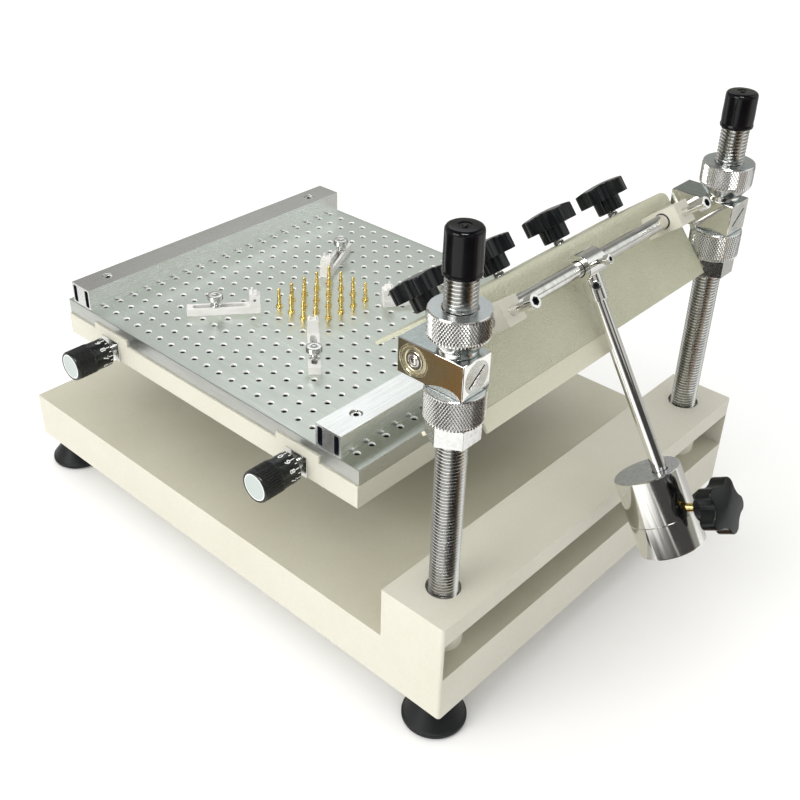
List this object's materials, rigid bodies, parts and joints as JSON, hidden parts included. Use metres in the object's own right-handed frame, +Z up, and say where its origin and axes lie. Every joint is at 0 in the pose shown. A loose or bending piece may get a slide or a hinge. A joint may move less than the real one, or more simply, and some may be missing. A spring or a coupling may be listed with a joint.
{
  "type": "solder paste stencil printer",
  "caption": "Bench stencil printer: drilled fine-adjust table on a sheet base, two threaded posts with nuts, a hinged clamp beam for the stencil frame and a counterweight arm.",
  "frame": {"origin": "centre of the base footprint, on the surface it stands on", "axes": "+Z up; -Y towards the operator, +Y towards the two posts; +X is the side with the two dial knobs"},
  "size_m": [0.3795, 0.5771, 0.3723],
  "materials": {
    "cream_paint": "smooth powder coat",
    "cream_texture": "leather-texture powder coat",
    "black_rubber": "matte",
    "black_vinyl": "glossy dipped vinyl",
    "black_plastic": "glossy moulded bakelite",
    "black_anodised": "black anodised",
    "zinc_steel": "bright zinc plate",
    "ground_steel": "ground and polished",
    "bearing_steel": "polished",
    "nickel_nut": "bright, diamond knurl",
    "chrome": "polished",
    "cast_aluminium": "milled",
    "brushed_plate": "brushed, slightly green-grey",
    "rail_aluminium": "brushed along its length",
    "holder_aluminium": "fine milled",
    "brass": "turned"
  },
  "bodies": {
    "base": {"base_shell": "cream_paint", "base_floor": "cream_paint", "post_sleeves": "cream_paint", "posts": "zinc_steel", "post_caps": "black_vinyl", "guide_bed": "cast_aluminium", "y_guide_rods": "ground_steel"},
    "foot_fr": {"foot_front_right": "black_rubber"},
    "foot_fl": {"foot_front_left": "black_rubber"},
    "foot_rr": {"foot_rear_right": "black_rubber"},
    "foot_rl": {"foot_rear_left": "black_rubber"},
    "carriage_y": {"cross_carriage": "cast_aluminium", "x_guide_rods": "ground_steel"},
    "y_knob": {"y_dial_knob": "black_anodised"},
    "table": {"table_plate": "brushed_plate", "table_frame": "cream_paint", "knob_flanges": "zinc_steel", "table_slide_blocks": "cast_aluminium", "rail_front": "rail_aluminium", "rail_back": "rail_aluminium", "rail_screws": "zinc_steel", "support_pins": "brass"},
    "x_knob_front": {"x_dial_knob_front": "black_anodised"},
    "x_knob_rear": {"x_dial_knob_rear": "black_anodised"},
    "hinge_carriage": {"hinge_blocks": "chrome", "pivot_bearings": "bearing_steel", "block_fittings": "chrome"},
    "beam": {"beam_channel": "cream_texture", "beam_jaw": "cream_texture", "shaft_brackets": "cream_paint", "bracket_screws": "chrome", "pivot_pins": "ground_steel"},
    "shaft": {"cross_shaft": "ground_steel"},
    "arm": {"arm_collar": "chrome", "arm_screws": "chrome", "arm_rod": "chrome"},
    "weight": {"counterweight": "chrome"},
    "weight_knob": {"weight_knob": "black_plastic"},
    "holder_1_screw": {"holder_screw_1": "chrome"},
    "holder_1_bar": {"holder_bar_1": "holder_aluminium"},
    "holder_2_screw": {"holder_screw_2": "chrome"},
    "holder_2_bar": {"holder_bar_2": "holder_aluminium"},
    "holder_3_screw": {"holder_screw_3": "chrome"},
    "holder_3_bar": {"holder_bar_3": "holder_aluminium"},
    "holder_4_screw": {"holder_screw_4": "chrome"},
    "holder_4_bar": {"holder_bar_4": "holder_aluminium"},
    "upper_nut_left_body": {"upper_nut_left": "nickel_nut"},
    "lower_nut_left_body": {"lower_nut_left": "nickel_nut"},
    "lock_nut_left_body": {"lock_nut_left": "nickel_nut"},
    "upper_nut_right_body": {"upper_nut_right": "nickel_nut"},
    "lower_nut_right_body": {"lower_nut_right": "nickel_nut"},
    "lock_nut_right_body": {"lock_nut_right": "nickel_nut"},
    "clamp_1_pad": {"clamp_pad_1": "zinc_steel"},
    "clamp_1_knob": {"clamp_knob_1": "black_plastic"},
    "clamp_2_pad": {"clamp_pad_2": "zinc_steel"},
    "clamp_2_knob": {"clamp_knob_2": "black_plastic"},
    "clamp_3_pad": {"clamp_pad_3": "zinc_steel"},
    "clamp_3_knob": {"clamp_knob_3": "black_plastic"},
    "clamp_4_pad": {"clamp_pad_4": "zinc_steel"},
    "clamp_4_knob": {"clamp_knob_4": "black_plastic"}
  },
  "joints": [
    {"name": "foot_front_right_turn", "type": "hinge", "parent": "base", "child": "foot_fr", "pos_m": [0.165, -0.2175, 0.02], "axis": [0, 0, 1], "continuous": true},
    {"name": "foot_front_left_turn", "type": "hinge", "parent": "base", "child": "foot_fl", "pos_m": [-0.165, -0.2175, 0.02], "axis": [0, 0, 1], "continuous": true},
    {"name": "foot_rear_right_turn", "type": "hinge", "parent": "base", "child": "foot_rr", "pos_m": [0.165, 0.2175, 0.02], "axis": [0, 0, 1], "continuous": true},
    {"name": "foot_rear_left_turn", "type": "hinge", "parent": "base", "child": "foot_rl", "pos_m": [-0.165, 0.2175, 0.02], "axis": [0, 0, 1], "continuous": true},
    {"name": "table_front_back", "type": "slide", "parent": "base", "child": "carriage_y", "axis": [0, 1, 0], "range_m": [-0.01, 0.01]},
    {"name": "front_dial_turn", "type": "hinge", "parent": "carriage_y", "child": "y_knob", "pos_m": [0, -0.22, 0.086], "axis": [0, -1, 0], "range_deg": [-3600, 3600]},
    {"name": "table_left_right", "type": "slide", "parent": "carriage_y", "child": "table", "axis": [1, 0, 0], "range_m": [-0.01, 0.01]},
    {"name": "side_dial_front_turn", "type": "hinge", "parent": "table", "child": "x_knob_front", "pos_m": [0.17, -0.1615, 0.1335], "axis": [1, 0, 0], "range_deg": [-3600, 3600]},
    {"name": "side_dial_rear_turn", "type": "hinge", "parent": "table", "child": "x_knob_rear", "pos_m": [0.17, 0.0665, 0.1335], "axis": [1, 0, 0], "range_deg": [-3600, 3600]},
    {"name": "holder_1_swivel", "type": "hinge", "parent": "table", "child": "holder_1_screw", "pos_m": [0.075, -0.1125, 0.16], "axis": [0, 0, 1], "range_deg": [-10, 10]},
    {"name": "holder_1_slide", "type": "slide", "parent": "holder_1_screw", "child": "holder_1_bar", "axis": [0.7665, -0.6423, 0], "range_m": [-0.008, 0.0212]},
    {"name": "holder_2_swivel", "type": "hinge", "parent": "table", "child": "holder_2_screw", "pos_m": [-0.075, -0.1125, 0.16], "axis": [0, 0, 1], "range_deg": [-10, 10]},
    {"name": "holder_2_slide", "type": "slide", "parent": "holder_2_screw", "child": "holder_2_bar", "axis": [-0.8944, -0.4472, 0], "range_m": [-0.004, 0.0284]},
    {"name": "holder_3_swivel", "type": "hinge", "parent": "table", "child": "holder_3_screw", "pos_m": [0.075, 0.0075, 0.16], "axis": [0, 0, 1], "range_deg": [-10, 10]},
    {"name": "holder_3_slide", "type": "slide", "parent": "holder_3_screw", "child": "holder_3_bar", "axis": [0.6798, 0.7334, 0], "range_m": [-0.006, 0.0312]},
    {"name": "holder_4_swivel", "type": "hinge", "parent": "table", "child": "holder_4_screw", "pos_m": [-0.075, 0.0075, 0.16], "axis": [0, 0, 1], "range_deg": [-10, 10]},
    {"name": "holder_4_slide", "type": "slide", "parent": "holder_4_screw", "child": "holder_4_bar", "axis": [-0.8269, 0.5623, 0], "range_m": [-0.0035, 0.0335]},
    {"name": "beam_height", "type": "slide", "parent": "base", "child": "hinge_carriage", "axis": [0, 0, 1], "range_m": [-0.016, 0.015]},
    {"name": "upper_nut_left_turn", "type": "hinge", "parent": "hinge_carriage", "child": "upper_nut_left_body", "pos_m": [0.154, 0.2105, 0.306], "axis": [0, 0, 1], "range_deg": [-2350, 2200]},
    {"name": "lower_nut_left_turn", "type": "hinge", "parent": "hinge_carriage", "child": "lower_nut_left_body", "pos_m": [0.154, 0.2105, 0.257], "axis": [0, 0, 1], "range_deg": [-2350, 2200]},
    {"name": "lock_nut_left_turn", "type": "hinge", "parent": "hinge_carriage", "child": "lock_nut_left_body", "pos_m": [0.154, 0.2105, 0.239], "axis": [0, 0, 1], "range_deg": [-2350, 2200]},
    {"name": "upper_nut_right_turn", "type": "hinge", "parent": "hinge_carriage", "child": "upper_nut_right_body", "pos_m": [-0.154, 0.2105, 0.306], "axis": [0, 0, 1], "range_deg": [-2350, 2200]},
    {"name": "lower_nut_right_turn", "type": "hinge", "parent": "hinge_carriage", "child": "lower_nut_right_body", "pos_m": [-0.154, 0.2105, 0.257], "axis": [0, 0, 1], "range_deg": [-2350, 2200]},
    {"name": "lock_nut_right_turn", "type": "hinge", "parent": "hinge_carriage", "child": "lock_nut_right_body", "pos_m": [-0.154, 0.2105, 0.239], "axis": [0, 0, 1], "range_deg": [-2350, 2200]},
    {"name": "beam_swing", "type": "hinge", "parent": "hinge_carriage", "child": "beam", "pos_m": [0, 0.188, 0.28], "axis": [1, 0, 0], "range_deg": [-100, 0]},
    {"name": "shaft_turn", "type": "hinge", "parent": "beam", "child": "shaft", "pos_m": [0, 0.19731, 0.28757], "axis": [1, 0, 0], "range_deg": [-0.5, 100.5]},
    {"name": "arm_angle", "type": "hinge", "parent": "shaft", "child": "arm", "pos_m": [0.004, 0.19731, 0.28757], "axis": [1, 0, 0], "range_deg": [0, 100]},
    {"name": "weight_slide", "type": "slide", "parent": "arm", "child": "weight", "axis": [0, 0.515, -0.8572], "range_m": [-0.058, 0]},
    {"name": "weight_knob_turn", "type": "hinge", "parent": "weight", "child": "weight_knob", "pos_m": [0.004, 0.31573, 0.14873], "axis": [0, 0.8572, 0.515], "continuous": true},
    {"name": "clamp_1_travel", "type": "slide", "parent": "beam", "child": "clamp_1_pad", "axis": [0, -0.6307, 0.776], "range_m": [-0.003, 0.02]},
    {"name": "clamp_1_turn", "type": "hinge", "parent": "clamp_1_pad", "child": "clamp_1_knob", "pos_m": [0.035, 0.16161, 0.25856], "axis": [0, -0.6307, 0.776], "range_deg": [-900, 5800]},
    {"name": "clamp_2_travel", "type": "slide", "parent": "beam", "child": "clamp_2_pad", "axis": [0, -0.6307, 0.776], "range_m": [-0.003, 0.02]},
    {"name": "clamp_2_turn", "type": "hinge", "parent": "clamp_2_pad", "child": "clamp_2_knob", "pos_m": [0.105, 0.16161, 0.25856], "axis": [0, -0.6307, 0.776], "range_deg": [-900, 5800]},
    {"name": "clamp_3_travel", "type": "slide", "parent": "beam", "child": "clamp_3_pad", "axis": [0, -0.6307, 0.776], "range_m": [-0.003, 0.02]},
    {"name": "clamp_3_turn", "type": "hinge", "parent": "clamp_3_pad", "child": "clamp_3_knob", "pos_m": [-0.035, 0.16161, 0.25856], "axis": [0, -0.6307, 0.776], "range_deg": [-900, 5800]},
    {"name": "clamp_4_travel", "type": "slide", "parent": "beam", "child": "clamp_4_pad", "axis": [0, -0.6307, 0.776], "range_m": [-0.003, 0.02]},
    {"name": "clamp_4_turn", "type": "hinge", "parent": "clamp_4_pad", "child": "clamp_4_knob", "pos_m": [-0.105, 0.16161, 0.25856], "axis": [0, -0.6307, 0.776], "range_deg": [-900, 5800]}
  ],
  "couplings": [
    {"joint": "side_dial_front_turn", "follows": "table_left_right", "rad_per_m": 6283.2},
    {"joint": "side_dial_rear_turn", "follows": "table_left_right", "rad_per_m": 6283.2},
    {"joint": "front_dial_turn", "follows": "table_front_back", "rad_per_m": 6283.2},
    {"joint": "upper_nut_left_turn", "follows": "beam_height", "rad_per_m": 2513.3},
    {"joint": "lower_nut_left_turn", "follows": "beam_height", "rad_per_m": 2513.3},
    {"joint": "lock_nut_left_turn", "follows": "beam_height", "rad_per_m": 2513.3},
    {"joint": "upper_nut_right_turn", "follows": "beam_height", "rad_per_m": 2513.3},
    {"joint": "lower_nut_right_turn", "follows": "beam_height", "rad_per_m": 2513.3},
    {"joint": "lock_nut_right_turn", "follows": "beam_height", "rad_per_m": 2513.3},
    {"joint": "shaft_turn", "follows": "beam_swing", "ratio": -1},
    {"joint": "clamp_1_turn", "follows": "clamp_1_travel", "rad_per_m": 5026.5},
    {"joint": "clamp_2_turn", "follows": "clamp_2_travel", "rad_per_m": 5026.5},
    {"joint": "clamp_3_turn", "follows": "clamp_3_travel", "rad_per_m": 5026.5},
    {"joint": "clamp_4_turn", "follows": "clamp_4_travel", "rad_per_m": 5026.5}
  ]
}
